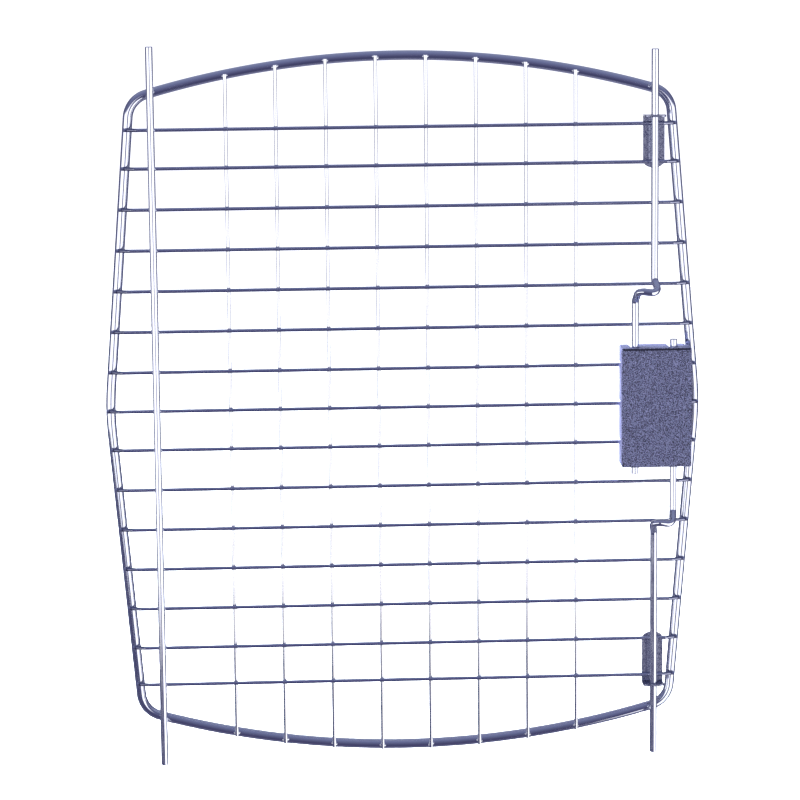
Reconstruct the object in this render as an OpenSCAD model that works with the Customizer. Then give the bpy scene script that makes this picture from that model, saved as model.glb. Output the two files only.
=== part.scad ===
// Wire door of a pet kennel, with a hinge rod and a two-rod squeeze latch.
// Millimetres. The origin is the lower end of the hinge rod, on its axis.
// +X runs across the door to the latch, +Z is up, and -Y faces outwards.

/* [Frame] */
// Half width of the frame where its two side legs would meet, at mid height
frame_half_w = 186; // [180:1:200]
// Half height of the frame at the crown of its bows
frame_half_h = 222; // [220:1:226]
// Diameter of the frame wire
frame_d = 6.35; // [5.5:0.05:6.5]
// Radius of the bowed top and bottom
bow_r = 575; // [560:1:700]
// Lean of each side leg from the vertical, in degrees
leg_lean = 4.8; // [4.4:0.1:5]
// Bend radius of the four corners
corner_r = 16; // [12:0.5:20]
// Bend radius of the sides at mid height
waist_r = 180; // [100:5:240]

/* [Grid] */
// Diameter of the grid wires
wire_d = 2.4; // [2:0.1:2.6]
// Distance between cross wires
row_pitch = 25.75; // [25:0.05:26]
// Distance between the middle cross wire and the next ones
mid_row_pitch = 24.9; // [24:0.1:26]
// Distance between the last two cross wires at each end
end_row_pitch = 24.15; // [23:0.05:26]
// Distance between upright wires
column_pitch = 31.3; // [30:0.1:32]
// How deep crossing wires are sunk into each other by their welds
weld_set = 0.25; // [0.15:0.05:0.3]

/* [Rods] */
// Diameter of the hinge rod and the latch rods
rod_d = 4.76; // [4.5:0.01:4.8]
// Length of the hinge rod
hinge_rod_len = 460; // [455:1:470]
// Distance of the hinge rod from the middle of the door
hinge_inset = 156.1; // [150:0.1:158]
// Distance of the latch pins from the middle of the door
latch_inset = 158.8; // [158:0.1:160]
// Height of the latch's centre above the middle cross wire
latch_rise = -1.6; // [-2:0.1:0]
// Distance from the latch's centre to the tip of each pin
pin_reach = 226.5; // [225:0.5:230]
// Free space between the latch rods and the cross wires
latch_gap = 1.2; // [1:0.1:1.4]
// Chamfer on the cut ends of the rods
tip_chamfer = 0.5; // [0.2:0.1:0.8]

/* [Finger cranks] */
// Distance of each leg from the pin's axis
leg_offset = 12.2; // [12:0.1:13]
// Distance of the finger bar from the latch's centre
crank_reach = 74; // [72:0.5:78]
// How far the finger bar stands in front of the pin
crank_proud = 8; // [7:0.5:9]
// How far each leg runs past the latch's centre
leg_past = 43.4; // [42:0.1:46]

/* [Guide brackets] */
// Width of the bracket plate
bracket_w = 13.6; // [12:0.1:15]
// Thickness of the bracket plate
bracket_t = 1.3; // [1:0.1:1.5]
// Distance from the last cross wire to the outer face of the drilled tab
tab_rise = 5.8; // [5:0.1:7]
// Distance from the next cross wire to the rounded end of the plate
plate_tail = 4; // [3:0.1:5]
// Free space round the rod in the tab's hole
tab_clearance = 0.35; // [0.3:0.05:0.5]

/* [Latch case] */
// Width of the case
case_w = 44.3; // [44:0.1:45]
// Height of the case
case_h = 76.6; // [75:0.1:78]
// Depth of the case
case_d = 18; // [18:0.1:18.5]
// Distance from the case's front face to the latch rods' axis
case_front = 5.3; // [5.2:0.1:5.4]
// Sideways shift of the case from the pins' axis
case_shift = 1; // [0.8:0.1:1.2]
// Wall thickness of the case
wall = 1.8; // [1.6:0.1:1.8]
// Thickness of the back plate
back_t = 3; // [2.8:0.1:3.2]
// Radius of the screw bosses
boss_r = 3.2; // [3:0.1:3.4]

/* [Springs] */
// Diameter of the spring wire
spring_wire = 0.6; // [0.5:0.05:0.65]
// Number of turns in each spring
spring_turns = 16; // [12:1:18]

/* [Hidden] */
ROWS = 15;
COLUMNS = 8;
frame_r = frame_d / 2;
wire_r = wire_d / 2;
rod_r = rod_d / 2;
ROUND = 48;

// Each bend is a hair thicker than the straight runs, which lap into it
swell = 1.02;
lap = 0.3;
seam_turn = 40;

// Depth of each layer, from the hinge rod's axis towards the kennel
row_y = rod_r + wire_r - weld_set;
column_y = row_y + wire_d - weld_set;
frame_y = column_y + wire_r + frame_r - weld_set;
latch_y = row_y - wire_r - rod_r - latch_gap;

// Middle of the door, and centre of the latch
door_x = hinge_inset;
door_z = hinge_rod_len / 2;
latch_x = door_x + latch_inset;
latch_z = door_z + latch_rise;

// Height of a cross wire above the middle one, counted in rows from it
function row_rise(n) = n == 0 ? 0 : sign(n) * (mid_row_pitch + row_pitch * (abs(n) - 1)
    - (abs(n) == (ROWS - 1) / 2 ? row_pitch - end_row_pitch : 0));
function row_z(i) = door_z + row_rise((ROWS + 1) / 2 - i);
function column_x(i) = door_x + column_pitch * (i - (COLUMNS + 1) / 2);

// The corner's centre touches the leg on one side and the bow on the other
corner_x0 = frame_half_w - corner_r / cos(leg_lean);
corner_slope = tan(leg_lean);
bow_z = frame_half_h - bow_r;
corner_b = corner_x0 * corner_slope + bow_z;
corner_a = 1 + corner_slope * corner_slope;
corner_c = corner_x0 * corner_x0 + bow_z * bow_z - (bow_r - corner_r) * (bow_r - corner_r);
corner_z = (corner_b + sqrt(corner_b * corner_b - corner_a * corner_c)) / corner_a;
corner_x = corner_x0 - corner_z * corner_slope;
bow_end = atan2(corner_z - bow_z, corner_x);
waist_x = frame_half_w - waist_r / cos(leg_lean);

function leg_x(z) = frame_half_w - abs(z) * corner_slope;
function bow_rise(x) = bow_z + sqrt(bow_r * bow_r - x * x);

// Where the ends of the grid wires lie on the frame wire
row_end_past = 2;
knee_in = 5.5;
knee_out = 0.9;
knee_r = 4;
top_end_past = 0.6;
bottom_end_past = 2.4;

// Latch case, measured from the hinge rod's axis
case_x0 = latch_x + case_shift - case_w / 2;
case_x1 = case_x0 + case_w;
case_y0 = latch_y - case_front;
case_y1 = case_y0 + case_d;
case_corner = 1;
frame_gap = 0.35;
step_x = door_x + leg_x(case_h / 2 - latch_rise) - frame_r / cos(leg_lean) - frame_gap;
step_y = frame_y - frame_r - frame_gap;
rod_slot_r = rod_r + 0.35;
rod_slot_flare = 3.45;
wire_slot_r = wire_r + 0.2;
cut = 1;

// Back plate and its screws
back_gap = 0.15;
back_y1 = case_y1 - 0.2;
back_y0 = back_y1 - back_t;
screw_row = mid_row_pitch / 2;
pilot_r = 1.25;
pilot_len = 11;
screw_r = 1.4;
screw_len = 8;
screw_hole_r = 1.7;
head_r = 2.8;
head_h = 1.7;
head_pocket_r = 3.2;
head_pocket = 1.9;
rib_t = 1.8;
rib_inset = 3;

// Ears pinched out of each leg, which bear on the case and carry the spring
ear_w = 7.6;
ear_h = 4;
ear_t = 2.6;
ear_gap = 0.3;
ear_z = case_h / 2 - wall - ear_gap - ear_h / 2;
spring_r = rod_r + 0.24 + spring_wire / 2;
spring_len = ear_z - ear_h / 2 + case_h / 2 - wall - 0.1;
SPRING_STEPS = 14;
SPRING_SIDES = 6;

function two_digits(i) = str(i < 10 ? "0" : "", i);
function row_name(i) = str("horizontal_wire_", two_digits(i));
function column_name(i) = str("vertical_wire_", two_digits(i));

// ---- bent wire ----

function unit(v) = v / norm(v);
function turn_angle(a, b, c) = acos(unit(b - a) * unit(c - b));
function tangent_len(a, b, c, bend_r) = bend_r * tan(turn_angle(a, b, c) / 2);

// A straight round wire from a to b, with a chamfer c0 at a and c1 at b
module straight(a, b, r, c0 = 0, c1 = 0) {
    v = b - a;
    h = norm(v) - c0 - c1;
    translate(a)
        rotate([0, acos(v.z / norm(v)), atan2(v.y, v.x)])
            rotate(seam_turn) translate([0, 0, c0]) {
                cylinder(h = h, r = r, $fn = ROUND);
                if (c0 > 0)
                    translate([0, 0, -c0])
                        cylinder(h = c0, r1 = r - c0, r2 = r, $fn = ROUND);
                if (c1 > 0)
                    translate([0, 0, h])
                        cylinder(h = c1, r1 = r, r2 = r - c1, $fn = ROUND);
            }
}

// The bend at corner b of a wire that comes from a and goes on to c
module bend(a, b, c, bend_r, r) {
    along = unit(b - a);
    onward = unit(c - b);
    inward = unit(onward - (onward * along) * along);
    start = b - tangent_len(a, b, c, bend_r) * along;
    middle = start + bend_r * inward;
    side = cross(-inward, along);
    multmatrix([[-inward.x, along.x, side.x, middle.x],
                [-inward.y, along.y, side.y, middle.y],
                [-inward.z, along.z, side.z, middle.z],
                [0, 0, 0, 1]])
        rotate_extrude(angle = turn_angle(a, b, c), $fn = ROUND)
            translate([bend_r, 0])
                rotate(90)
                    circle(r = r * swell, $fn = ROUND);
}

// A wire through the given corners, each with its own bend radius, between two cut ends.
// The straight runs reach a little way into the bends, which are a hair thicker.
module bent_wire(path, bends, r, chamfer = 0) {
    last = len(path) - 1;
    for (i = [0 : last - 1]) {
        run = unit(path[i + 1] - path[i]);
        back = i == 0 ? 0 : tangent_len(path[i - 1], path[i], path[i + 1], bends[i - 1]) - lap;
        ahead = i == last - 1 ? 0 : tangent_len(path[i], path[i + 1], path[i + 2], bends[i]) - lap;
        straight(path[i] + back * run, path[i + 1] - ahead * run, r,
            i == 0 ? chamfer : 0, i == last - 1 ? chamfer : 0);
    }
    for (i = [1 : last - 1])
        bend(path[i - 1], path[i], path[i + 1], bends[i - 1], r);
}

// ---- frame ----

// An arc of frame wire about a centre in the plane of the door
module frame_arc(x, z, arc_r, from, to, r) {
    translate([x, 0, z])
        rotate([90, 0, 0])
            rotate_extrude(angle = to - from, start = from, $fn = ROUND)
                translate([arc_r, 0])
                    circle(r = r, $fn = ROUND);
}

// One side: the bend at mid height, and above and below it a leg and a corner
module frame_side() {
    foot = [waist_x + waist_r * cos(leg_lean), 0, waist_r * sin(leg_lean)];
    top = [corner_x + corner_r * cos(leg_lean), 0, corner_z + corner_r * sin(leg_lean)];
    run = lap * unit(top - foot);
    frame_arc(waist_x, 0, waist_r, -leg_lean, leg_lean, frame_r * swell);
    for (flip = [0, 1])
        mirror([0, 0, flip]) {
            straight(foot - run, top + run, frame_r);
            frame_arc(corner_x, corner_z, corner_r, leg_lean, bow_end, frame_r * swell);
        }
}

module frame_wire() {
    bow_lap = lap / bow_r * 180 / PI;
    color("silver")
        translate([door_x, frame_y, door_z])
            for (flip = [0, 1]) {
                mirror([flip, 0, 0])
                    frame_side();
                mirror([0, 0, flip])
                    frame_arc(0, bow_z, bow_r, bow_end - bow_lap, 180 - bow_end + bow_lap, frame_r);
            }
}

// ---- grid ----

// A cross wire runs in front of the upright wires and is knee-bent back onto the frame at each end
module horizontal_wire(i) {
    z = row_z(i);
    seat = leg_x(z - door_z);
    reach = seat + row_end_past;
    path = [[-reach, column_y, 0], [knee_out - seat, column_y, 0], [knee_in - seat, row_y, 0],
            [seat - knee_in, row_y, 0], [seat - knee_out, column_y, 0], [reach, column_y, 0]];
    color("silver")
        translate([door_x, 0, z])
            bent_wire(path, [knee_r, knee_r, knee_r, knee_r], wire_r);
}

module vertical_wire(i) {
    x = column_x(i);
    top = bow_rise(x - door_x) + top_end_past;
    bottom = bow_rise(x - door_x) + bottom_end_past;
    color("silver")
        translate([x, column_y, door_z - bottom])
            cylinder(h = top + bottom, r = wire_r, $fn = ROUND);
}

// ---- rods ----

module hinge_rod() {
    color("silver")
        straight([0, 0, 0], [0, 0, hinge_rod_len], rod_r, tip_chamfer, tip_chamfer);
}

// Corners of a latch rod from its pin to its leg, about the latch's centre
crank_path = [[0, 0, pin_reach],
              [0, 0, crank_reach + 6.5],
              [2.2, -crank_proud, crank_reach - 0.8],
              [1.2 - leg_offset, 1 - crank_proud, crank_reach + 1],
              [-leg_offset, 0, crank_reach - 6],
              [-leg_offset, 0, -leg_past]];
crank_bends = [5, 4, 4, 4];

// Two flat ears pinched out of the leg, their corners cut back
module ears() {
    x = ear_w / 2;
    z = ear_h / 2;
    nip = 1.1;
    translate([-leg_offset, ear_t / 2, ear_z])
        rotate([90, 0, 0])
            linear_extrude(height = ear_t)
                polygon([[-x, nip - z], [nip - x, -z], [x - nip, -z], [x, nip - z],
                         [x, z - nip], [x - nip, z], [nip - x, z], [-x, z - nip]]);
}

module latch_rod() {
    bent_wire(crank_path, crank_bends, rod_r, tip_chamfer);
    ears();
}

module upper_latch_rod() {
    color("silver")
        translate([latch_x, latch_y, latch_z])
            latch_rod();
}

module lower_latch_rod() {
    color("silver")
        translate([latch_x, latch_y, latch_z])
            rotate([0, 180, 0])
                latch_rod();
}

// ---- guide brackets ----

// Plate behind two cross wires, bent over at the top into a tab that the rod slides through
module guide_bracket() {
    plate_y = row_y + wire_r - 0.05;
    bend_in = 1;
    tab_z = row_rise((ROWS - 1) / 2) + tab_rise;
    tail_z = row_rise((ROWS - 3) / 2) - plate_tail;
    tail_r = 8.5;
    tab_front = latch_y - rod_r - 2;
    tab_corner = 3;
    plate_top = tab_z - bracket_t - bend_in;
    tab_y = plate_y - bend_in;
    difference() {
        union() {
            intersection() {
                translate([-bracket_w / 2, plate_y, tail_z])
                    cube([bracket_w, bracket_t, plate_top - tail_z]);
                union() {
                    translate([0, plate_y + bracket_t + cut, tail_z + tail_r])
                        rotate([90, 0, 0])
                            cylinder(h = bracket_t + 2 * cut, r = tail_r, $fn = ROUND);
                    translate([-bracket_w, plate_y - cut, tail_z + tail_r])
                        cube([2 * bracket_w, bracket_t + 2 * cut, plate_top - tail_z]);
                }
            }
            translate([-bracket_w / 2, tab_y, plate_top])
                rotate([90, 0, 90])
                    rotate_extrude(angle = 90, $fn = ROUND)
                        translate([bend_in, 0])
                            square([bracket_t, bracket_w]);
            translate([0, 0, tab_z - bracket_t])
                linear_extrude(height = bracket_t) {
                    translate([-bracket_w / 2, tab_front + tab_corner])
                        square([bracket_w, tab_y - tab_front - tab_corner]);
                    translate([tab_corner - bracket_w / 2, tab_front])
                        square([bracket_w - 2 * tab_corner, tab_corner + cut]);
                    for (side = [-1, 1])
                        translate([side * (bracket_w / 2 - tab_corner), tab_front + tab_corner])
                            circle(r = tab_corner, $fn = ROUND);
                }
        }
        translate([0, latch_y, tab_z - bracket_t - cut])
            cylinder(h = bracket_t + 2 * cut, r = rod_r + tab_clearance, $fn = ROUND);
    }
}

module upper_guide_bracket() {
    color("lightsteelblue")
        translate([latch_x, 0, door_z])
            guide_bracket();
}

module lower_guide_bracket() {
    color("lightsteelblue")
        translate([latch_x, 0, door_z])
            mirror([0, 0, 1])
                guide_bracket();
}

// ---- latch case ----

// A block with four rounded upright edges seen from the front, from depth y0 to y1
module case_block(x0, x1, y0, y1, half_h, corner) {
    translate([0, y1, latch_z])
        rotate([90, 0, 0])
            linear_extrude(height = y1 - y0) {
                translate([x0 + corner, -half_h])
                    square([x1 - x0 - 2 * corner, 2 * half_h]);
                translate([x0, corner - half_h])
                    square([x1 - x0, 2 * (half_h - corner)]);
                for (x = [x0 + corner, x1 - corner], z = [corner - half_h, half_h - corner])
                    translate([x, z])
                        circle(r = corner, $fn = ROUND);
            }
}

// Opening in the end walls for one leg, flared towards the back
module leg_slot(x) {
    translate([x, latch_y, latch_z - case_h])
        linear_extrude(height = 2 * case_h) {
            circle(r = rod_slot_r, $fn = ROUND);
            polygon([[-rod_slot_r, 0], [-rod_slot_flare, case_d], [rod_slot_flare, case_d], [rod_slot_r, 0]]);
        }
}

// Opening in the side walls for one cross wire, open towards the back
module wire_slot(z) {
    translate([case_x0 - cut, row_y, z])
        rotate([0, 90, 0])
            cylinder(h = case_w + 2 * cut, r = wire_slot_r, $fn = ROUND);
    translate([case_x0 - cut, row_y, z - wire_slot_r])
        cube([case_w + 2 * cut, case_d, 2 * wire_slot_r]);
}

module latch_cover() {
    inner_h = case_h / 2 - wall;
    color("slategray")
        difference() {
            union() {
                difference() {
                    case_block(case_x0, case_x1, case_y0, case_y1, case_h / 2, case_corner);
                    translate([step_x, step_y, latch_z - case_h])
                        cube([case_w, case_d, 2 * case_h]);
                    translate([case_x0 + wall, case_y0 + wall, latch_z - inner_h])
                        cube([case_w - 2 * wall, step_y - wall - case_y0 - wall, 2 * inner_h]);
                    translate([case_x0 + wall, case_y0 + 2 * wall, latch_z - inner_h])
                        cube([step_x - case_x0 - 2 * wall, case_d, 2 * inner_h]);
                }
                for (side = [-1, 1])
                    translate([latch_x, back_y0 - back_gap, door_z + side * screw_row])
                        rotate([90, 0, 0])
                            cylinder(h = back_y0 - back_gap - case_y0 - wall / 2, r = boss_r, $fn = ROUND);
            }
            for (side = [-1, 1]) {
                leg_slot(latch_x + side * leg_offset);
                translate([latch_x, back_y0, door_z + side * screw_row])
                    rotate([90, 0, 0])
                        cylinder(h = pilot_len, r = pilot_r, $fn = ROUND);
            }
            for (n = [-1 : 1])
                wire_slot(door_z + row_rise(n));
        }
}

module latch_back() {
    color("slategray")
        difference() {
            union() {
                case_block(case_x0 + wall + back_gap, step_x - wall - back_gap, back_y0, back_y1,
                    case_h / 2 - wall - back_gap, case_corner / 2);
                for (n = [-1 : 1])
                    translate([case_x0 + wall + rib_inset, row_y + wire_r + 0.05, door_z + row_rise(n) - rib_t / 2])
                        cube([step_x - case_x0 - 2 * (wall + rib_inset), back_y0 - row_y - wire_r, rib_t]);
            }
            for (side = [-1, 1])
                translate([latch_x, 0, door_z + side * screw_row])
                    rotate([-90, 0, 0]) {
                        cylinder(h = case_d, r = screw_hole_r, $fn = ROUND);
                        translate([0, 0, back_y1 - head_pocket])
                            cylinder(h = case_d, r = head_pocket_r, $fn = ROUND);
                    }
        }
}

// One screw with a domed head and a cross recess, its head at y = 0 and its shank towards -y
module screw() {
    recess_w = 0.8;
    recess_len = 3.2;
    recess_deep = 0.9;
    rotate([90, 0, 0]) {
        cylinder(h = screw_len, r = screw_r, $fn = ROUND);
        translate([0, 0, -head_h])
            difference() {
                cylinder(h = head_h, r1 = head_r - 0.6, r2 = head_r, $fn = ROUND);
                for (quarter = [0, 90])
                    rotate([0, 0, quarter])
                        translate([-recess_len / 2, -recess_w / 2, -cut])
                            cube([recess_len, recess_w, recess_deep + cut]);
            }
    }
}

module latch_screws() {
    color("dimgray")
        for (side = [-1, 1])
            translate([latch_x, back_y1 - head_pocket, door_z + side * screw_row])
                screw();
}

// ---- springs ----

// A coil from z = 0 up to z = h, with a ring of points at each step along its helix
module coil(r, h, turns, wire) {
    steps = turns * SPRING_STEPS;
    rise = h - wire;
    tilt = atan2(rise, 2 * PI * r * turns);
    points = [for (i = [0 : steps], k = [0 : SPRING_SIDES - 1])
        let (a = 360 * i / SPRING_STEPS, b = 360 * k / SPRING_SIDES,
             out = r + wire / 2 * cos(b),
             side = wire / 2 * sin(b))
        [out * cos(a) + side * sin(tilt) * sin(a),
         out * sin(a) - side * sin(tilt) * cos(a),
         wire / 2 + rise * i / steps + side * cos(tilt)]];
    sides = [for (i = [0 : steps - 1], k = [0 : SPRING_SIDES - 1], half = [0, 1])
        let (n = (k + 1) % SPRING_SIDES, low = i * SPRING_SIDES, high = low + SPRING_SIDES)
        half == 0 ? [low + k, high + k, high + n] : [low + k, high + n, low + n]];
    start = [for (k = [1 : SPRING_SIDES - 2]) [0, k, k + 1]];
    end = [for (k = [1 : SPRING_SIDES - 2]) [for (j = [0, k + 1, k]) steps * SPRING_SIDES + j]];
    polyhedron(concat(points), concat(sides, start, end), convexity = 10);
}

// The upper spring stands on the case's bottom wall and pushes the upper rod's ears up
module upper_spring() {
    color("gray")
        translate([latch_x - leg_offset, latch_y, latch_z + wall - case_h / 2 + 0.05])
            coil(spring_r, spring_len, spring_turns, spring_wire);
}

module lower_spring() {
    color("gray")
        translate([latch_x + leg_offset, latch_y, latch_z - wall + case_h / 2 - 0.05])
            rotate([0, 180, 0])
                coil(spring_r, spring_len, spring_turns, spring_wire);
}

frame_wire();
for (i = [1 : ROWS]) horizontal_wire(i);
for (i = [1 : COLUMNS]) vertical_wire(i);
hinge_rod();
upper_latch_rod();
lower_latch_rod();
upper_guide_bracket();
lower_guide_bracket();
latch_cover();
latch_back();
latch_screws();
upper_spring();
lower_spring();
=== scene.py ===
# %% [markdown]
# # A wire kennel door, in bright plated wire and grained plastic
#
# The door is a welded grid of thin wire in a heavier wire ring. A straight rod down one side is
# its hinge, and two cranked rods on the other side are its latch: squeezed together by finger
# and thumb, they slide towards each other through a small plastic case and draw in their pins.
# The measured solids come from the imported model. This script gives them their looks: round,
# smooth wire, weld beads, soft moulded edges, materials, light and a camera.

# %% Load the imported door
import bpy
import bmesh
import math
from mathutils import Matrix, Vector


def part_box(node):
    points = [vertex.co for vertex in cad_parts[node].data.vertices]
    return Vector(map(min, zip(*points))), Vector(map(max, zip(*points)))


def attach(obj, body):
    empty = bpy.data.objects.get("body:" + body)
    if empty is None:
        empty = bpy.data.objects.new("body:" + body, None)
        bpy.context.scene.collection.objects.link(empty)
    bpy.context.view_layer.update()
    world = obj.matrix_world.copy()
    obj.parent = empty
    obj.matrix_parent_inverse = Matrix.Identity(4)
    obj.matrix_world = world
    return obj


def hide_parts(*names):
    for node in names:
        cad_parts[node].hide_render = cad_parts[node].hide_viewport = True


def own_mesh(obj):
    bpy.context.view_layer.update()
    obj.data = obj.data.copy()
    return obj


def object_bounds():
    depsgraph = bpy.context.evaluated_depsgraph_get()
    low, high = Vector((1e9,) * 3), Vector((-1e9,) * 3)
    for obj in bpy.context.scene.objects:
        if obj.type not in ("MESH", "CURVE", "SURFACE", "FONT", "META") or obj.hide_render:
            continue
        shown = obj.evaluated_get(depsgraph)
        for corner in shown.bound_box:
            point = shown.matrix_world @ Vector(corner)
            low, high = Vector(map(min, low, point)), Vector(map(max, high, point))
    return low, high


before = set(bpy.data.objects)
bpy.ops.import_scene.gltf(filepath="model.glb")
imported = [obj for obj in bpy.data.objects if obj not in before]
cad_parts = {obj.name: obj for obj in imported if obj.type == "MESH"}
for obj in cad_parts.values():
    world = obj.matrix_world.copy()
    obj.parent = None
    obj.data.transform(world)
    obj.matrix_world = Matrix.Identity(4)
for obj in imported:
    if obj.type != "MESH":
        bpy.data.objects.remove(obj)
cad_low, cad_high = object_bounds()
print("door's box, mm:", [round(v * 1000, 1) for v in (*cad_low, *cad_high)])

# %% [markdown]
# ## Where things are
#
# The solids' own boxes say where each wire lies. The wire sizes, the bends and the crank are
# stated again here, as the solids have them. Everything is in metres, with +Z up the hinge rod
# and -Y outwards.

# %% Sizes and places
WIRE = 0.0012          # radius of the grid wires
ROD = 0.00238          # radius of the hinge rod and of the latch rods
RING = 0.003175        # radius of the frame wire
WIRE_CUT = (0.0002, 0.85)   # chamfer on a grid wire's end: its length, and the share of the radius left
ROD_CUT = (0.0005, 0.79)    # the same for a rod's end
EAR_OUT = 0.016        # from the latch's centre across to the outer side of a leg's ear
PIN_UP = 0.2265        # from the latch's centre up to the upper pin's tip
LATCH_Y = -0.00145     # how far forward the latch rods' straight parts lie
rows = ["horizontal_wire_%02d" % i for i in range(1, 16)]
columns = ["vertical_wire_%02d" % i for i in range(1, 9)]


def middle(node):
    low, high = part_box(node)
    return (low + high) / 2


door = middle("frame_wire")
column_y = middle(columns[0]).y
row_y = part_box(rows[7])[0].y + WIRE * 1.02
ring_y = door.y
rod_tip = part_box("upper_latch_rod")
latch = Vector((rod_tip[0].x + EAR_OUT, LATCH_Y, rod_tip[1].z - PIN_UP))
print("door centre, mm:", [round(v * 1000, 2) for v in door])
print("latch centre, mm:", [round(v * 1000, 2) for v in latch])

# %% [markdown]
# ## Shared surface effects
#
# Two effects are used by several finishes, so each is a shader node group that is built once.
# *Handling marks* gives a slow, cloudy variation and fine streaks, which set the roughness of
# plated metal. *Moulded grain* gives the pebbled skin of cheap moulded plastic as a height for
# a bump. Both only put out values, and the shaders stay in the materials.

# %% Helpers for shader groups
def new_group(name, inputs, outputs):
    group = bpy.data.node_groups.new(name, "ShaderNodeTree")
    for label, kind, value in inputs:
        socket = group.interface.new_socket(label, in_out="INPUT", socket_type=kind)
        if value is not None:
            socket.default_value = value
    for label, kind in outputs:
        group.interface.new_socket(label, in_out="OUTPUT", socket_type=kind)
    return group, group.nodes.new("NodeGroupInput"), group.nodes.new("NodeGroupOutput")


def node(tree, kind, **settings):
    made = tree.nodes.new(kind)
    for key, value in settings.items():
        if key in made.inputs:
            made.inputs[key].default_value = value
        else:
            setattr(made, key, value)
    return made


def math_node(tree, operation, a, b=None, c=None, clamp=False):
    made = tree.nodes.new("ShaderNodeMath")
    made.operation = operation
    made.use_clamp = clamp
    for i, value in enumerate((a, b, c)):
        if value is None:
            continue
        if isinstance(value, (int, float)):
            made.inputs[i].default_value = value
        else:
            tree.links.new(value, made.inputs[i])
    return made.outputs[0]


# %% Handling marks: cloudy smears and fine streaks
marks, marks_in, marks_out = new_group(
    "handling marks",
    [("Vector", "NodeSocketVector", None), ("Cloud Scale", "NodeSocketFloat", 60.0),
     ("Streak Scale", "NodeSocketFloat", 900.0), ("Low", "NodeSocketFloat", 0.06),
     ("High", "NodeSocketFloat", 0.2)],
    [("Roughness", "NodeSocketFloat"), ("Streaks", "NodeSocketFloat")])
cloud = node(marks, "ShaderNodeTexNoise", Detail=3.0, Roughness=0.6)
streak = node(marks, "ShaderNodeTexNoise", Detail=2.0, Roughness=0.5)
marks.links.new(marks_in.outputs["Vector"], cloud.inputs["Vector"])
marks.links.new(marks_in.outputs["Vector"], streak.inputs["Vector"])
marks.links.new(marks_in.outputs["Cloud Scale"], cloud.inputs["Scale"])
marks.links.new(marks_in.outputs["Streak Scale"], streak.inputs["Scale"])
smears = math_node(marks, "MULTIPLY", cloud.outputs["Fac"], 0.6)
blend = math_node(marks, "MULTIPLY_ADD", streak.outputs["Fac"], 0.4, smears)
span = node(marks, "ShaderNodeMapRange")
span.inputs["From Min"].default_value = 0.35
span.inputs["From Max"].default_value = 0.65
marks.links.new(blend, span.inputs["Value"])
marks.links.new(marks_in.outputs["Low"], span.inputs["To Min"])
marks.links.new(marks_in.outputs["High"], span.inputs["To Max"])
marks.links.new(span.outputs["Result"], marks_out.inputs["Roughness"])
marks.links.new(streak.outputs["Fac"], marks_out.inputs["Streaks"])

# %% Moulded grain: a pebbled skin
grain, grain_in, grain_out = new_group(
    "moulded grain",
    [("Vector", "NodeSocketVector", None), ("Scale", "NodeSocketFloat", 900.0)],
    [("Height", "NodeSocketFloat"), ("Valleys", "NodeSocketFloat")])
warp = node(grain, "ShaderNodeTexNoise", Scale=500.0, Detail=1.0)
pull = grain.nodes.new("ShaderNodeMix")
pull.data_type = "RGBA"
pull.blend_type = "LINEAR_LIGHT"
pull.inputs["Factor"].default_value = 0.0012
cells = node(grain, "ShaderNodeTexVoronoi", Randomness=1.0)
cells.feature = "SMOOTH_F1"
cells.inputs["Smoothness"].default_value = 0.6
pits = node(grain, "ShaderNodeTexNoise", Detail=1.0, Roughness=0.5)
grain.links.new(grain_in.outputs["Vector"], warp.inputs["Vector"])
grain.links.new(grain_in.outputs["Vector"], pull.inputs["A"])
grain.links.new(warp.outputs["Color"], pull.inputs["B"])
grain.links.new(grain_in.outputs["Scale"], cells.inputs["Scale"])
grain.links.new(grain_in.outputs["Vector"], cells.inputs["Vector"])
grain.links.new(grain_in.outputs["Vector"], pits.inputs["Vector"])
grain.links.new(grain_in.outputs["Scale"], pits.inputs["Scale"])
dips = math_node(grain, "MULTIPLY", cells.outputs["Distance"], -0.35)
height = math_node(grain, "MULTIPLY_ADD", pits.outputs["Fac"], 1.1, dips)
grain.links.new(height, grain_out.inputs["Height"])
valley = node(grain, "ShaderNodeMapRange")
valley.inputs["From Min"].default_value = 0.27
valley.inputs["From Max"].default_value = 0.53
grain.links.new(height, valley.inputs["Value"])
grain.links.new(valley.outputs["Result"], grain_out.inputs["Valleys"])
print("shader groups:", [g.name for g in bpy.data.node_groups])

# %% [markdown]
# ## Plated wire
#
# The wire is steel with a bright plating: a mirror-like metal with a cold tint. Its finish runs
# along the wire, because it was drawn through a die, so the streaks are stretched along X on the
# cross wires and along Z on the uprights and rods. Each material maps its own coordinates and
# keeps its own shader.

# %% Darker ends on the cross wires
END_DARK_START, END_DARK_FULL = 0.1785, 0.1815      # where the darkening begins and is full, out from the middle
END_DARK_STOP = 0.1868                          # where they stop, a little short of the wire's end
END_DARK_COLOUR = (0.30, 0.31, 0.42, 1)
SIDE_LEAN = math.tan(math.radians(4.8))     # how far the frame's sides lean in, per metre up or down


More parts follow.
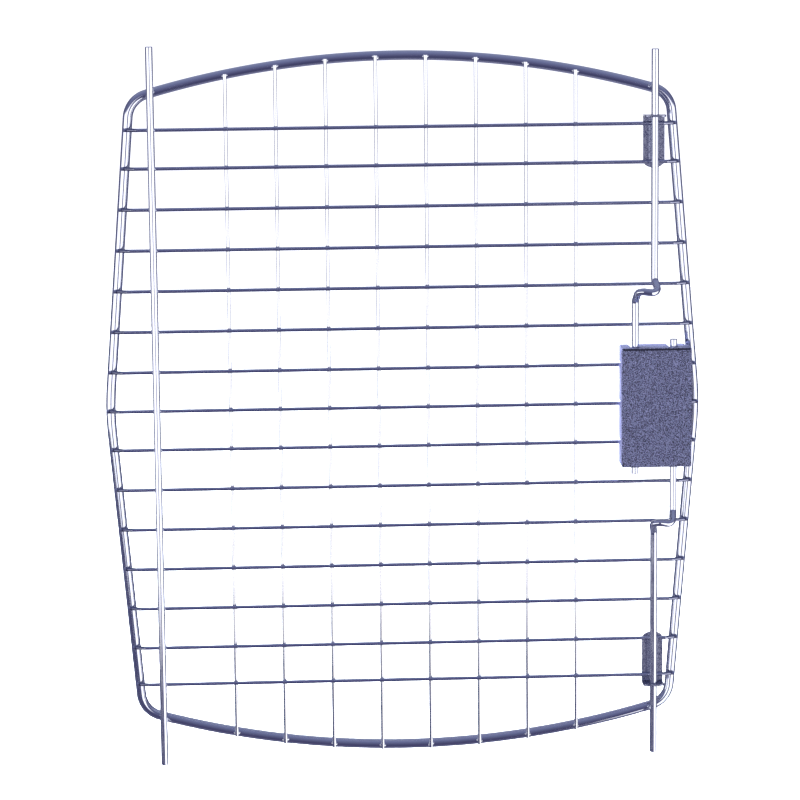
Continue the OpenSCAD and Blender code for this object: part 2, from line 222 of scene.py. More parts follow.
def darken_wire_ends(tree, where, colour):
    """The last few millimetres of each cross wire, near the frame, are painted darker."""
    axes = node(tree, "ShaderNodeSeparateXYZ")
    tree.links.new(where, axes.inputs["Vector"])
    out = math_node(tree, "ABSOLUTE", math_node(tree, "SUBTRACT", axes.outputs["X"], door.x))
    up = math_node(tree, "ABSOLUTE", math_node(tree, "SUBTRACT", axes.outputs["Z"], door.z))
    to_side = math_node(tree, "MULTIPLY_ADD", up, SIDE_LEAN, out)
    mask = node(tree, "ShaderNodeMapRange")
    mask.interpolation_type = "SMOOTHSTEP"
    mask.inputs["From Min"].default_value = END_DARK_START
    mask.inputs["From Max"].default_value = END_DARK_FULL
    tree.links.new(to_side, mask.inputs["Value"])
    mix = node(tree, "ShaderNodeMix", data_type="RGBA")
    mix.inputs["B"].default_value = END_DARK_COLOUR
    cut_end = math_node(tree, "LESS_THAN", to_side, END_DARK_STOP)
    tree.links.new(math_node(tree, "MULTIPLY", mask.outputs["Result"], cut_end), mix.inputs["Factor"])
    tree.links.new(colour, mix.inputs["A"])
    return mix.outputs["Result"]


# %% Plated finishes
EVEN = (1.0, 1.0, 1.0)         # marks the same size in every direction
ALONG_X = (0.15, 1.0, 1.0)     # marks stretched along a cross wire


def plated(name, colour, low, high, stretch, bump=0.02, cloud=60.0, dark_ends=False):
    made = bpy.data.materials.new(name)
    made.use_nodes = True
    tree = made.node_tree
    shader = tree.nodes["Principled BSDF"]
    shader.inputs["Metallic"].default_value = 1.0
    place = node(tree, "ShaderNodeTexCoord")
    mapping = node(tree, "ShaderNodeMapping")
    mapping.inputs["Scale"].default_value = stretch
    tree.links.new(place.outputs["Object"], mapping.inputs["Vector"])
    wear = tree.nodes.new("ShaderNodeGroup")
    wear.node_tree = marks
    wear.inputs["Low"].default_value = low
    wear.inputs["High"].default_value = high
    wear.inputs["Cloud Scale"].default_value = cloud
    tree.links.new(mapping.outputs["Vector"], wear.inputs["Vector"])
    tree.links.new(wear.outputs["Roughness"], shader.inputs["Roughness"])
    tone = node(tree, "ShaderNodeMix", data_type="RGBA")
    tone.inputs["A"].default_value = (*[c * 0.92 for c in colour], 1)
    tone.inputs["B"].default_value = (*colour, 1)
    tree.links.new(wear.outputs["Streaks"], tone.inputs["Factor"])
    skin = tone.outputs["Result"]
    # the cross wires are painted darker near their ends
    if dark_ends:
        skin = darken_wire_ends(tree, place.outputs["Object"], skin)
    tree.links.new(skin, shader.inputs["Base Color"])
    relief = node(tree, "ShaderNodeBump", Strength=bump, Distance=0.0002)
    tree.links.new(wear.outputs["Streaks"], relief.inputs["Height"])
    tree.links.new(relief.outputs["Normal"], shader.inputs["Normal"])
    return made


ring_finish = plated("plated frame wire", (0.76, 0.78, 0.88), 0.05, 0.12, EVEN, bump=0.004, cloud=40.0)
cross_finish = plated("plated cross wire", (0.70, 0.72, 0.84), 0.10, 0.2, ALONG_X, bump=0.01, dark_ends=True)
upright_finish = plated("plated upright wire", (0.90, 0.91, 0.93), 0.05, 0.1, (1.0, 1.0, 0.15), bump=0.006)
rod_finish = plated("plated rod", (0.82, 0.84, 0.91), 0.05, 0.14, (1.0, 1.0, 0.12))
plate_finish = plated("plated bracket", (0.46, 0.475, 0.60), 0.16, 0.34, EVEN, bump=0.25, cloud=500.0)
weld_finish = plated("dull weld bead", (0.42, 0.43, 0.54), 0.28, 0.45, EVEN, bump=0.3, cloud=400.0)
spring_finish = plated("drawn spring wire", (0.62, 0.62, 0.64), 0.2, 0.35, (1.0, 1.0, 0.3))
screw_finish = plated("zinc plated screw", (0.66, 0.67, 0.68), 0.25, 0.4, EVEN, bump=0.1, cloud=200.0)

# %% [markdown]
# ## Grained plastic
#
# The case is moulded in slate-coloured plastic with a leather-like grain pressed into it by the
# mould. A bump from the grain group breaks up the light, and the valleys are painted a little
# darker, partly for dirt and partly as painted shade in the grain's hollows.

# %% Plastic finishes
GROOVE_TOP, GROOVE_FOOT = 0.0004, 0.0016    # how far under the case's top the groove starts and ends
GROOVE_SIDE = 0.0008                        # how far it stops short of the case's sides
GROOVE_DEPTH = 0.0010
# the colour of the painted shade in the groove
GROOVE_SHADE_COLOUR = (0.012, 0.013, 0.04, 1)
SHADE_EDGE = 0.0001                         # how far the painted shade goes past the groove, up and down
SHADE_FRONT, SHADE_BACK = 0.0003, 0.0012    # where it starts and ends behind the case's front
SHADE_SIDE = 0.0005                         # how far it stops short of the case's sides


def groove_shade(tree, where, colour, low, high):
    """Painted shade in the groove, behind the case's front and just under its top."""
    axes = node(tree, "ShaderNodeSeparateXYZ")
    tree.links.new(where, axes.inputs["Vector"])
    under = math_node(tree, "LESS_THAN", axes.outputs["Z"], high.z - GROOVE_TOP + SHADE_EDGE)
    over = math_node(tree, "GREATER_THAN", axes.outputs["Z"], high.z - GROOVE_FOOT - SHADE_EDGE)
    behind = math_node(tree, "GREATER_THAN", axes.outputs["Y"], low.y + SHADE_FRONT)
    before = math_node(tree, "LESS_THAN", axes.outputs["Y"], low.y + SHADE_BACK)
    inside = math_node(tree, "GREATER_THAN", axes.outputs["X"], low.x + SHADE_SIDE)
    within = math_node(tree, "LESS_THAN", axes.outputs["X"], high.x - SHADE_SIDE)
    mask = under
    for part in (over, behind, before, inside, within):
        mask = math_node(tree, "MULTIPLY", mask, part)
    mix = node(tree, "ShaderNodeMix", data_type="RGBA")
    mix.inputs["B"].default_value = GROOVE_SHADE_COLOUR
    tree.links.new(mask, mix.inputs["Factor"])
    tree.links.new(colour, mix.inputs["A"])
    return mix.outputs["Result"]


def moulded(name, peak, hollow, scale, depth, rough, grooved=None):
    made = bpy.data.materials.new(name)
    made.use_nodes = True
    tree = made.node_tree
    shader = tree.nodes["Principled BSDF"]
    shader.inputs["Roughness"].default_value = rough
    place = node(tree, "ShaderNodeTexCoord")
    skin = tree.nodes.new("ShaderNodeGroup")
    skin.node_tree = grain
    skin.inputs["Scale"].default_value = scale
    lie = node(tree, "ShaderNodeMapping")
    lie.inputs["Scale"].default_value = (1.0, 1.0, 0.62)
    tree.links.new(place.outputs["Object"], lie.inputs["Vector"])
    tree.links.new(lie.outputs["Vector"], skin.inputs["Vector"])
    # darker valleys: partly dirt, partly painted shade in the grain's hollows
    tone = node(tree, "ShaderNodeMix", data_type="RGBA")
    tone.inputs["A"].default_value = (*hollow, 1)
    tone.inputs["B"].default_value = (*peak, 1)
    tree.links.new(skin.outputs["Valleys"], tone.inputs["Factor"])
    colour = tone.outputs["Result"]
    # the groove under the case's top gets painted shade
    if grooved:
        colour = groove_shade(tree, place.outputs["Object"], colour, *grooved)
    tree.links.new(colour, shader.inputs["Base Color"])
    relief = node(tree, "ShaderNodeBump", Strength=depth, Distance=0.0004)
    tree.links.new(skin.outputs["Height"], relief.inputs["Height"])
    tree.links.new(relief.outputs["Normal"], shader.inputs["Normal"])
    return made


case_finish = moulded("slate grained plastic", (0.26, 0.275, 0.49), (0.008, 0.009, 0.026), 2250.0, 1.0, 0.5,
                      grooved=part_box("latch_cover"))
back_finish = moulded("slate satin plastic", (0.15, 0.16, 0.29), (0.08, 0.085, 0.17), 1800.0, 0.4, 0.55)
print("finishes:", sorted(m.name for m in bpy.data.materials if m.use_nodes))

# %% [markdown]
# ## A Geometry Nodes tree that draws wire
#
# Every wire here is one round section carried along a path, so one Geometry Nodes tree makes
# them all. It takes a curve, sweeps a circle along it at the path's own point radius, caps the
# ends and sets a material. A path's points near a cut end have a smaller radius, which turns
# the cut into a small chamfer. The result is turned into a plain mesh, so that it can be
# exported and can ride on a body.

# %% The wire tree
wire_tree = bpy.data.node_groups.new("wire along a path", "GeometryNodeTree")
wire_tree.interface.new_socket("Path", in_out="INPUT", socket_type="NodeSocketGeometry")
for label, kind, value in (("Wire Radius", "NodeSocketFloat", 0.0012), ("Sides", "NodeSocketInt", 20),
                           ("Finish", "NodeSocketMaterial", None)):
    socket = wire_tree.interface.new_socket(label, in_out="INPUT", socket_type=kind)
    if value is not None:
        socket.default_value = value
wire_tree.interface.new_socket("Wire", in_out="OUTPUT", socket_type="NodeSocketGeometry")
tree_in = wire_tree.nodes.new("NodeGroupInput")
tree_out = wire_tree.nodes.new("NodeGroupOutput")
section = wire_tree.nodes.new("GeometryNodeCurvePrimitiveCircle")
sweep = wire_tree.nodes.new("GeometryNodeCurveToMesh")
sweep.inputs["Fill Caps"].default_value = True
taper = wire_tree.nodes.new("GeometryNodeInputRadius")
soften = wire_tree.nodes.new("GeometryNodeSetShadeSmooth")
real = wire_tree.nodes.new("GeometryNodeRealizeInstances")
paint = wire_tree.nodes.new("GeometryNodeSetMaterial")
for a, b in ((tree_in.outputs["Path"], sweep.inputs["Curve"]),
             (tree_in.outputs["Sides"], section.inputs["Resolution"]),
             (tree_in.outputs["Wire Radius"], section.inputs["Radius"]),
             (section.outputs["Curve"], sweep.inputs["Profile Curve"]),
             (taper.outputs["Radius"], sweep.inputs["Scale"]),
             (sweep.outputs["Mesh"], soften.inputs["Geometry"]),
             (soften.outputs["Geometry"], real.inputs["Geometry"]),
             (real.outputs["Geometry"], paint.inputs["Geometry"]),
             (tree_in.outputs["Finish"], paint.inputs["Material"]),
             (paint.outputs["Geometry"], tree_out.inputs["Wire"])):
    wire_tree.links.new(a, b)


# %% Running a tree and keeping its result
def socket_id(tree, label):
    return next(s.identifier for s in tree.interface.items_tree if s.name == label and s.in_out == "INPUT")


def keep_result(holder, name, tree, values, sharp=35):
    modifier = holder.modifiers.new("make", "NODES")
    modifier.node_group = tree
    for label, value in values.items():
        modifier[socket_id(tree, label)] = value
    bpy.context.view_layer.update()
    graph = bpy.context.evaluated_depsgraph_get()
    mesh = bpy.data.meshes.new_from_object(holder.evaluated_get(graph), depsgraph=graph)
    bpy.data.objects.remove(holder)
    mesh.name = name
    mesh.set_sharp_from_angle(angle=math.radians(sharp))
    made = bpy.data.objects.new(name, mesh)
    bpy.context.scene.collection.objects.link(made)
    return made


def draw_wire(name, paths, radius, finish, sides=20, closed=False):
    """paths is a list of lists of (point, scale of the section there)."""
    curve = bpy.data.curves.new(name + "_path", "CURVE")
    curve.dimensions = "3D"
    for path in paths:
        spline = curve.splines.new("POLY")
        spline.points.add(len(path) - 1)
        for point, (place, scale) in zip(spline.points, path):
            point.co = (*place, 1.0)
            point.radius = scale
        spline.use_cyclic_u = closed
    holder = bpy.data.objects.new(name + "_path", curve)
    bpy.context.scene.collection.objects.link(holder)
    made = keep_result(holder, name, wire_tree, {"Wire Radius": radius, "Sides": sides, "Finish": finish})
    bm = bmesh.new()
    bm.from_mesh(made.data)
    bmesh.ops.recalc_face_normals(bm, faces=bm.faces)
    bm.to_mesh(made.data)
    bm.free()
    print("%-22s %6d faces" % (name, len(made.data.polygons)))
    return made


# %% [markdown]
# ## Bent paths
#
# Wire bends on a radius, never at a corner. `bent` takes the corner points and the bend radii
# and gives points along the straights and round each bend. `cut_ends` then adds the small
# chamfer that shears and tumbling leave on a cut end.

# %% Straight runs and bends
def bent(corners, radii, step=7.0):
    corners = [Vector(c) for c in corners]
    out = [corners[0]]
    for a, b, c, radius in zip(corners, corners[1:], corners[2:], radii):
        along, onward = (b - a).normalized(), (c - b).normalized()
        turn = along.angle(onward)
        start = b - along * radius * math.tan(turn / 2)
        inward = (onward - along * onward.dot(along)).normalized()
        count = max(2, round(math.degrees(turn) / step))
        for i in range(count + 1):
            t = turn * i / count
            out.append(start + along * radius * math.sin(t) + inward * radius * (1 - math.cos(t)))
    out.append(corners[-1])
    return out


def cut_ends(points, chamfer, narrow):
    first, last = (points[1] - points[0]).normalized(), (points[-1] - points[-2]).normalized()
    body = [(p, 1.0) for p in points[1:-1]]
    return ([(points[0], narrow), (points[0] + first * chamfer, 1.0)] + body
            + [(points[-1] - last * chamfer, 1.0), (points[-1], narrow)])


# %% [markdown]
# ## The frame ring
#
# The frame is one closed ring of 6.35 mm wire: a shallow bow at the top and bottom, and sides
# bent outwards at mid height. Its path is the same circles and tangents as the solid's, taken
# quarter by quarter.

# %% Frame ring
def frame_path():
    half_w, half_h = 0.186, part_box("frame_wire")[1].z - door.z - RING
    bow, corner, waist, lean = 0.575, 0.016, 0.18, math.radians(4.8)
    a, k, oz = half_w - corner / math.cos(lean), math.tan(lean), half_h - bow
    b, q = a * k + oz, 1 + k * k
    cz = (b + math.sqrt(b * b - q * (a * a + oz * oz - (bow - corner) ** 2))) / q
    cx = a - cz * k
    end = math.atan2(cz - oz, cx)
    wx = half_w - waist / math.cos(lean)
    quarter = [(wx + waist * math.cos(t), waist * math.sin(t)) for t in [lean * i / 4 for i in range(5)]]
    foot, top = quarter[-1], (cx + corner * math.cos(lean), cz + corner * math.sin(lean))
    quarter += [(foot[0] + (top[0] - foot[0]) * i / 12, foot[1] + (top[1] - foot[1]) * i / 12)
                for i in range(1, 12)]
    quarter += [(cx + corner * math.cos(t), cz + corner * math.sin(t))
                for t in [lean + (end - lean) * i / 14 for i in range(15)]]
    quarter += [(bow * math.cos(t), oz + bow * math.sin(t))
                for t in [end + (math.pi / 2 - end) * i / 40 for i in range(1, 41)]]
    ring = list(quarter)
    ring += [(-x, z) for x, z in reversed(quarter[1:-1])]
    ring += [(-x, -z) for x, z in quarter]
    ring += [(x, -z) for x, z in reversed(quarter[1:-1])]
    clean = []
    for x, z in ring:
        if not clean or math.dist(clean[-1], (x, z)) > 1e-6:
            clean.append((x, z))
    if math.dist(clean[0], clean[-1]) < 1e-6:
        clean.pop()
    return [(Vector((door.x + x, ring_y, door.z + z)), 1.0) for x, z in clean]


ring = draw_wire("frame_ring", [frame_path()], RING, ring_finish, sides=36, closed=True)
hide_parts("frame_wire")
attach(ring, "door")

# %% [markdown]
# ## The grid
#
# Fifteen cross wires run in front of eight uprights. Each cross wire has a knee close to each
# end, where it is pressed back onto the frame before it is welded.

# %% Cross wires and uprights
END_PAST = 0.002                      # how far a cross wire's end goes past the frame wire's middle
KNEE_OUT, KNEE_IN = 0.0009, 0.0055    # where its knee starts and ends, in from that middle


def cross_path(name):
    low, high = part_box(name)
    z = (low.z + high.z) / 2
    left, right = low.x + END_PAST, high.x - END_PAST
    corners = [(low.x, column_y, z), (left + KNEE_OUT, column_y, z), (left + KNEE_IN, row_y, z),
               (right - KNEE_IN, row_y, z), (right - KNEE_OUT, column_y, z), (high.x, column_y, z)]
    return cut_ends(bent(corners, [0.004] * 4, step=5.0), *WIRE_CUT)


def upright_path(name):
    low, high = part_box(name)
    x = (low.x + high.x) / 2
    count = 24
    points = [Vector((x, column_y, low.z + (high.z - low.z) * i / count)) for i in range(count + 1)]
    return cut_ends(points, *WIRE_CUT)


cross_wires = draw_wire("cross_wires", [cross_path(n) for n in rows], WIRE, cross_finish)
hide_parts(*rows)
uprights = draw_wire("upright_wires", [upright_path(n) for n in columns], WIRE, upright_finish)
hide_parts(*columns)
for piece in (cross_wires, uprights):
    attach(piece, "door")

# %% [markdown]
# ## Rods
#
# The hinge rod is straight. The two latch rods are one shape: a pin, a crank that comes forward
# for the fingers, and a leg that goes down through the case. The lower one is the upper one
# turned half round about the latch's centre.

# %% Hinge rod and latch rods
low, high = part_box("hinge_rod")
hinge_points = [Vector((0, 0, low.z + (high.z - low.z) * i / 24)) for i in range(25)]
hinge = draw_wire("hinge_rod_bright", [cut_ends(hinge_points, *ROD_CUT)], ROD, rod_finish, sides=36)
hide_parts("hinge_rod")
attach(hinge, "door")

LEG_X, EAR_Z = -12.2, 34.2             # the leg and its ear from the latch's centre, in mm
EAR_SIZE = (0.0075, 0.0025, 0.0039)
crank = [(0, 0, 226.5), (0, 0, 80.5), (2.2, -8, 73.2), (-11, -7, 75.0), (LEG_X, 0, 68), (LEG_X, 0, -43.4)]
for name, side in (("upper", 1), ("lower", -1)):
    corners = [latch + Vector((side * x, y, side * z)) / 1000 for x, y, z in crank]
    points = bent(corners, [0.005, 0.004, 0.004, 0.004], step=6.0)
    rod = draw_wire(name + "_latch_rod_bright", [cut_ends(points, *ROD_CUT)], ROD, rod_finish, sides=36)
    ear = bmesh.new()
    bmesh.ops.create_cube(ear, size=1.0)
    bmesh.ops.scale(ear, vec=EAR_SIZE, verts=ear.verts)
    bmesh.ops.bevel(ear, geom=list(ear.edges), offset=0.0006, segments=3, affect="EDGES", profile=0.6)
    bmesh.ops.translate(ear, vec=latch + Vector((side * LEG_X, 0, side * EAR_Z)) / 1000, verts=ear.verts)
    ear.from_mesh(rod.data)
    for face in ear.faces:
        face.smooth = True
    ear.to_mesh(rod.data)
    ear.free()
    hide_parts(name + "_latch_rod")
    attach(rod, name + "_rod")

# %% [markdown]
# ## Weld beads
#
# Wires are joined by resistance welding: they are pressed together and melt a little into each
# other, which squeezes out a small bead on both sides of the crossing. A second tree puts one
# rounded bead on each crossing point, with its size and turn picked at random from a fixed seed.

# %% The bead tree
bead_tree = bpy.data.node_groups.new("weld beads", "GeometryNodeTree")
bead_tree.interface.new_socket("Crossings", in_out="INPUT", socket_type="NodeSocketGeometry")
for label, kind, value in (("Bead Size", "NodeSocketVector", (0.0016, 0.001, 0.0015)),
                           ("Variation", "NodeSocketFloat", 0.15),
                           ("Seed", "NodeSocketInt", 4), ("Finish", "NodeSocketMaterial", None)):
    socket = bead_tree.interface.new_socket(label, in_out="INPUT", socket_type=kind)
    if value is not None:
        socket.default_value = value
bead_tree.interface.new_socket("Beads", in_out="OUTPUT", socket_type="NodeSocketGeometry")
tree_in = bead_tree.nodes.new("NodeGroupInput")
tree_out = bead_tree.nodes.new("NodeGroupOutput")
ball = bead_tree.nodes.new("GeometryNodeMeshIcoSphere")
ball.inputs["Radius"].default_value = 1.0
ball.inputs["Subdivisions"].default_value = 3
spread = bead_tree.nodes.new("FunctionNodeRandomValue")
spread.data_type = "FLOAT"
narrow = bead_tree.nodes.new("ShaderNodeMath")
narrow.operation = "SUBTRACT"
narrow.inputs[0].default_value = 1.0
size = bead_tree.nodes.new("ShaderNodeVectorMath")
size.operation = "SCALE"
turn = bead_tree.nodes.new("FunctionNodeRandomValue")
turn.data_type = "FLOAT_VECTOR"
turn.inputs["Min"].default_value = (-0.2, -0.5, -0.2)
turn.inputs["Max"].default_value = (0.2, 0.5, 0.2)
place = bead_tree.nodes.new("GeometryNodeInstanceOnPoints")
real = bead_tree.nodes.new("GeometryNodeRealizeInstances")
soften = bead_tree.nodes.new("GeometryNodeSetShadeSmooth")
paint = bead_tree.nodes.new("GeometryNodeSetMaterial")
low_value = next(s for s in spread.inputs if s.identifier == "Min_001")
high_value = next(s for s in spread.inputs if s.identifier == "Max_001")
high_value.default_value = 1.0
for a, b in ((tree_in.outputs["Crossings"], place.inputs["Points"]),
             (ball.outputs["Mesh"], place.inputs["Instance"]),
             (tree_in.outputs["Variation"], narrow.inputs[1]), (narrow.outputs[0], low_value),
             (tree_in.outputs["Seed"], spread.inputs["Seed"]), (tree_in.outputs["Seed"], turn.inputs["Seed"]),
             (tree_in.outputs["Bead Size"], size.inputs[0]), (spread.outputs[1], size.inputs["Scale"]),
             (size.outputs[0], place.inputs["Scale"]), (turn.outputs[0], place.inputs["Rotation"]),
             (place.outputs["Instances"], real.inputs["Geometry"]),
             (real.outputs["Geometry"], soften.inputs["Geometry"]),
             (soften.outputs["Geometry"], paint.inputs["Geometry"]),
             (tree_in.outputs["Finish"], paint.inputs["Material"]),
             (paint.outputs["Geometry"], tree_out.inputs["Beads"])):
    bead_tree.links.new(a, b)


def beads(name, points, size, seed, finish=weld_finish):
    mesh = bpy.data.meshes.new(name + "_points")
    mesh.from_pydata([tuple(p) for p in points], [], [])
    holder = bpy.data.objects.new(name + "_points", mesh)
    bpy.context.scene.collection.objects.link(holder)
    made = keep_result(holder, name, bead_tree, {"Bead Size": size, "Seed": seed, "Finish": finish}, sharp=60)
    print("%-22s %4d beads" % (name, len(points)))
    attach(made, "door")


# %% Beads at every crossing
row_heights = [middle(n).z for n in rows]
column_places = [middle(n).x for n in columns]
between = (row_y + column_y) / 2
beads("grid_weld_beads", [(x, between, z) for z in row_heights for x in column_places],
      (0.00135, 0.0009, 0.00135), 3)
beads("rod_weld_beads", [(0, row_y - WIRE, z) for z in row_heights], (0.0019, 0.0008, 0.0014), 5)
ring_front = ring_y - RING
SIDE_BEAD = 0.0021                    # how far in from its wire's end a bead sits: at the frame's sides,
FOOT_BEAD, HEAD_BEAD = 0.0022, 0.0012    # and at its bottom and top bows
ends = [(x, ring_front, middle(n).z) for n in rows
        for x in (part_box(n)[0].x + SIDE_BEAD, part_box(n)[1].x - SIDE_BEAD)]
tops = [(middle(n).x, ring_front, z) for n in columns
        for z in (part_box(n)[0].z + FOOT_BEAD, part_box(n)[1].z - HEAD_BEAD)]
beads("frame_side_weld_beads", ends, (0.0017, 0.0008, 0.0013), 7)
beads("frame_bow_weld_beads", tops, (0.0024, 0.0011, 0.0013), 9, finish=upright_finish)

# %% [markdown]
# ## Springs
#
# Each leg carries a compression spring inside the case, which pushes its pin outwards. The
# spring is a helix swept by the wire tree. On the real latch a drawn-in rod squeezes its spring
# flat against the far end wall of the case; here the coil keeps its shape and stays with the door.

# %% Springs on the legs
for name, side in (("upper", 1), ("lower", -1)):
    low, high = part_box(name + "_spring")
    turns, per_turn, wire = 16, 28, 0.0003
    centre = (low + high) / 2
    coil_radius = (high.x - low.x) / 2 - wire
    length = high.z - low.z - 2 * wire
    path = []
    for i in range(turns * per_turn + 1):
        a = 2 * math.pi * i / per_turn
        spot = Vector((centre.x + side * coil_radius * math.cos(a),
                       centre.y + coil_radius * math.sin(a) * side,
                       low.z + wire + length * i / (turns * per_turn)))
        path.append((spot, 1.0))
    spring = draw_wire(name + "_spring_coil", [path], wire, spring_finish, sides=10)
    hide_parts(name + "_spring")
    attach(spring, "door")
    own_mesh(spring)

# %% [markdown]
# ## Moulded and pressed parts
#
# The case, its back plate, the two brackets and the screws already have the right shape as
# solids. What they lack is the soft edge that a mould or a press leaves. A copy of each is
# welded into one skin, its flat faces are joined up, and its sharp edges are rounded with a
# Bevel modifier.

# %% Soft-edged copies
def cut_groove(bm, low, high):
    """A shallow groove along the top of the case's front."""
    front = low.y
    for place, way in (((0, 0, high.z - GROOVE_TOP), (0, 0, 1)), ((0, 0, high.z - GROOVE_FOOT), (0, 0, 1)),
                       ((low.x + GROOVE_SIDE, 0, 0), (1, 0, 0)), ((high.x - GROOVE_SIDE, 0, 0), (1, 0, 0))):
        flat = [f for f in bm.faces if f.normal.y < -0.99 and abs(f.calc_center_median().y - front) < 1e-4]
        parts = set(flat) | {e for f in flat for e in f.edges} | {v for f in flat for v in f.verts}
        bmesh.ops.bisect_plane(bm, geom=list(parts), plane_co=place, plane_no=way)
    strip = [f for f in bm.faces if f.normal.y < -0.99 and abs(f.calc_center_median().y - front) < 1e-4
             and high.z - GROOVE_FOOT < f.calc_center_median().z < high.z - GROOVE_TOP
             and low.x + GROOVE_SIDE < f.calc_center_median().x < high.x - GROOVE_SIDE]
    pushed = bmesh.ops.extrude_face_region(bm, geom=strip)
    bmesh.ops.delete(bm, geom=strip, context="FACES_ONLY")
    floor_points = [v for v in pushed["geom"] if isinstance(v, bmesh.types.BMVert)]
    bmesh.ops.translate(bm, vec=(0, GROOVE_DEPTH, 0), verts=floor_points)
    print("groove faces:", len(strip))


def soft_edged(name, source, width, finish, segments=3, groove=False):
    bm = bmesh.new()
    bm.from_mesh(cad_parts[source].data)
    bmesh.ops.remove_doubles(bm, verts=bm.verts, dist=2e-6)
    bmesh.ops.dissolve_limit(bm, angle_limit=math.radians(1.0), verts=bm.verts, edges=bm.edges,
                             delimit={"NORMAL"})
    if groove:
        cut_groove(bm, *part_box(source))
    mesh = bpy.data.meshes.new(name)
    bm.to_mesh(mesh)
    bm.free()
    made = bpy.data.objects.new(name, mesh)
    bpy.context.scene.collection.objects.link(made)
    bevel = made.modifiers.new("soft edges", "BEVEL")
    bevel.width = width
    bevel.segments = segments
    bevel.limit_method = "ANGLE"
    bevel.angle_limit = math.radians(40)
    bevel.use_clamp_overlap = True
    mesh.polygons.foreach_set("use_smooth", [True] * len(mesh.polygons))
    level = made.modifiers.new("flat faces stay flat", "WEIGHTED_NORMAL")
    level.keep_sharp = True
    graph = bpy.context.evaluated_depsgraph_get()
    bpy.context.view_layer.update()
    rounded = bpy.data.meshes.new_from_object(made.evaluated_get(graph), depsgraph=graph)
    made.modifiers.clear()
    made.data = rounded
    rounded.materials.clear()
    rounded.materials.append(finish)
    print("%-22s %6d faces" % (name, len(rounded.polygons)))
    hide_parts(source)
    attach(made, "door")


soft_edged("latch_case", "latch_cover", 0.00035, case_finish, groove=True)
soft_edged("latch_back_plate", "latch_back", 0.0003, back_finish)
soft_edged("upper_bracket_plate", "upper_guide_bracket", 0.00018, plate_finish)
soft_edged("lower_bracket_plate", "lower_guide_bracket", 0.00018, plate_finish)
soft_edged("cross_head_screws", "latch_screws", 0.0001, screw_finish, segments=2)

# %% [markdown]
# ## Light, floor and camera
#
# Bright metal shows only what is round it, so the room matters more than the lamps. The room is
# a white studio: two broad soft banks of light left and right of the camera with a narrow dark
# gap between them, a lit backdrop behind, and dim blue above and below. An upright rod then
# shows two bright bands with a thin dark line between them, and a cross wire, which looks up
# and down and not sideways, stays dark. The room is a World shader worked out from direction.

# %% The room
world = bpy.data.worlds.new("white studio")
bpy.context.scene.world = world
world.use_nodes = True
room = world.node_tree
room.nodes.clear()
place = node(room, "ShaderNodeTexCoord")
split = node(room, "ShaderNodeSeparateXYZ")
room.links.new(place.outputs["Generated"], split.inputs["Vector"])
ahead = math_node(room, "MULTIPLY", split.outputs["Y"], -1.0)
side_angle = math_node(room, "ABSOLUTE", math_node(room, "ARCTAN2", split.outputs["X"], ahead))
off_gap = math_node(room, "ABSOLUTE", math_node(room, "SUBTRACT", split.outputs["X"], 0.035))
rise = math_node(room, "ARCSINE", split.outputs["Z"])
pitch = math_node(room, "ARCTAN2", split.outputs["Z"], ahead)


def fade(value, start, end, angle=True):
    """0 at start and 1 at end, smoothly. Angles are in degrees."""
    made = room.nodes.new("ShaderNodeMapRange")
    made.interpolation_type = "SMOOTHSTEP"
    flip = start > end
    low, high = min(start, end), max(start, end)
    made.inputs["From Min"].default_value = math.radians(low) if angle else low
    made.inputs["From Max"].default_value = math.radians(high) if angle else high
    made.inputs["To Min"].default_value = 1.0 if flip else 0.0
    made.inputs["To Max"].default_value = 0.0 if flip else 1.0
    room.links.new(value, made.inputs["Value"])
    return made.outputs["Result"]


def both(*masks):
    joined = masks[0]
    for mask in masks[1:]:
        joined = math_node(room, "MULTIPLY", joined, mask)
    return joined


def add_light(base, mask, colour):
    made = room.nodes.new("ShaderNodeMix")
    made.data_type = "RGBA"
    made.inputs["B"].default_value = (*colour, 1)
    room.links.new(base, made.inputs["A"])
    room.links.new(mask, made.inputs["Factor"])
    return made.outputs["Result"]


over_and_under = room.nodes.new("ShaderNodeValToRGB")
stops = [(-180, (0.5, 0.5, 0.65)), (-100, (0.2, 0.2, 0.3)), (-45, (0.06, 0.06, 0.14)),
         (-10, (0.1, 0.1, 0.2)), (60, (0.2, 0.22, 0.38)), (160, (0.35, 0.38, 0.5))]
ramp = over_and_under.color_ramp
while len(ramp.elements) < len(stops):
    ramp.elements.new(0.5)
for element, (angle, colour) in zip(ramp.elements, stops):
    element.position = (angle + 180) / 360
for element, (angle, colour) in zip(ramp.elements, stops):
    element.color = (*colour, 1)
room.links.new(math_node(room, "MULTIPLY_ADD", pitch, 1 / (2 * math.pi), 0.5), over_and_under.inputs["Fac"])
seen = over_and_under.outputs["Color"]
wings = both(fade(side_angle, 70, 82), fade(side_angle, 174, 160),
             fade(rise, 50, 30), fade(rise, -60, -45))
seen = add_light(seen, wings, (0.13, 0.135, 0.23))
backdrop = both(fade(side_angle, 162, 174), fade(rise, 45, 30), fade(rise, -45, -30))
seen = add_light(seen, backdrop, (1.0, 1.0, 1.05))
on_left = math_node(room, "LESS_THAN", split.outputs["X"], 0.0)
left_low = math_node(room, "MULTIPLY", on_left, fade(rise, -12.6, -14.6))
banks = both(fade(off_gap, 0.165, 0.2, angle=False), fade(side_angle, 84, 72), fade(rise, 12, 2),
             fade(rise, -62, -50), math_node(room, "SUBTRACT", 1.0, left_low))
seen = add_light(seen, banks, (1.6, 1.6, 1.65))
path_kind = node(room, "ShaderNodeLightPath")
mirror_view = room.nodes.new("ShaderNodeBackground")
plain_view = room.nodes.new("ShaderNodeBackground")
plain_view.inputs["Color"].default_value = (1.0, 1.0, 1.0, 1)
plain_view.inputs["Strength"].default_value = 1.05
room.links.new(seen, mirror_view.inputs["Color"])
choose = room.nodes.new("ShaderNodeMixShader")
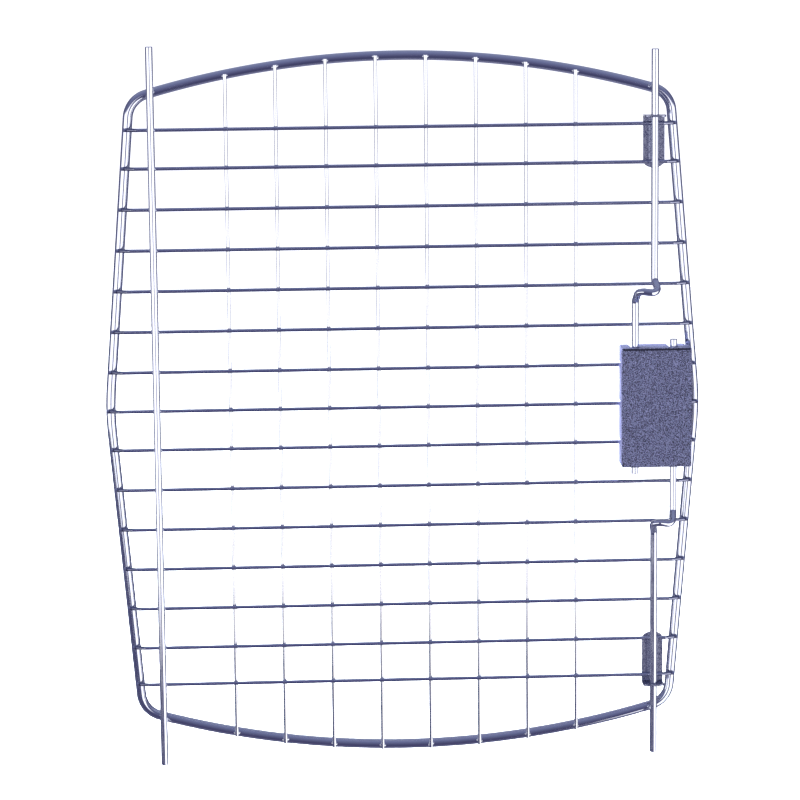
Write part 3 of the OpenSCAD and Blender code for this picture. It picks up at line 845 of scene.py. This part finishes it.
out = room.nodes.new("ShaderNodeOutputWorld")
room.links.new(path_kind.outputs["Is Camera Ray"], choose.inputs["Fac"])
room.links.new(mirror_view.outputs["Background"], choose.inputs[1])
room.links.new(plain_view.outputs["Background"], choose.inputs[2])
room.links.new(choose.outputs["Shader"], out.inputs["Surface"])

# %% Soft lamps that shape the case
# The lamps are left out of glossy reflections, so plated wire shows the room and not the lamps.
# The overhead and left lamps are the strong ones, and the front one only fills in.
def soft_lamp(name, place, aim, width, height, power, colour=(1, 1, 1)):
    data = bpy.data.lights.new(name, "AREA")
    data.shape = "RECTANGLE"
    data.size, data.size_y = width, height
    data.energy = power
    data.color = colour
    lamp = bpy.data.objects.new(name, data)
    lamp.location = place
    lamp.rotation_mode = "QUATERNION"
    lamp.rotation_quaternion = (Vector(aim) - Vector(place)).to_track_quat("-Z", "Y")
    lamp.visible_glossy = False
    bpy.context.scene.collection.objects.link(lamp)


aim = Vector((door.x, 0, door.z))
soft_lamp("overhead_soft", aim + Vector((-0.3, 0.5, 1.6)), aim, 1.2, 0.8, 80, (0.82, 0.9, 1.0))
soft_lamp("front_soft", aim + Vector((0.5, -1.7, 0.3)), aim, 1.0, 1.0, 18)
soft_lamp("left_soft", aim + Vector((-1.6, 0.4, 0.3)), aim, 0.7, 1.2, 240, (0.92, 0.95, 1.0))

# %% The floor
floor_mesh = bpy.data.meshes.new("studio_floor")
reach = 40.0
floor_mesh.from_pydata([(-reach, -reach, 0), (reach, -reach, 0), (reach, reach, 0), (-reach, reach, 0)],
                       [], [(0, 1, 2, 3)])
floor = bpy.data.objects.new("studio_floor", floor_mesh)
bpy.context.scene.collection.objects.link(floor)
floor.location = (0, 0, cad_low.z - 0.0005)
paper = bpy.data.materials.new("white paper sweep")
paper.use_nodes = True
paper_shader = paper.node_tree.nodes["Principled BSDF"]
paper_shader.inputs["Base Color"].default_value = (0.9, 0.9, 0.9, 1)
paper_shader.inputs["Roughness"].default_value = 0.9
paper_shader.inputs["Specular IOR Level"].default_value = 0.0
paper_shader.inputs["Emission Color"].default_value = (1, 1, 1, 1)
paper_shader.inputs["Emission Strength"].default_value = 1.05
floor_mesh.materials.append(paper)
floor.visible_glossy = False
floor.visible_diffuse = False

# %% The camera
azimuth, elevation, roll, distance = math.radians(2.54), math.radians(9.84), math.radians(-0.58), 2.093
forward = Vector((math.sin(azimuth) * math.cos(elevation), math.cos(azimuth) * math.cos(elevation),
                  -math.sin(elevation)))
across = forward.cross(Vector((0, 0, 1))).normalized()
upward = across.cross(forward)
right = across * math.cos(roll) + upward * math.sin(roll)
top = upward * math.cos(roll) - across * math.sin(roll)
target = Vector((door.x - 0.00232, column_y, door.z + 0.00422))
camera_data = bpy.data.cameras.new("camera")
camera_data.sensor_width = 36.0
camera_data.lens = 148.5
camera_data.clip_start, camera_data.clip_end = 0.05, 200.0
camera = bpy.data.objects.new("camera", camera_data)
bpy.context.scene.collection.objects.link(camera)
turned = Matrix((right, top, -forward)).transposed()
camera.rotation_mode = "QUATERNION"
camera.rotation_quaternion = turned.to_quaternion()
camera.location = target - forward * distance
bpy.context.scene.camera = camera
bpy.context.scene.view_settings.view_transform = "Standard"
bpy.context.scene.view_settings.look = "None"
print("camera at", [round(v, 3) for v in camera.location])
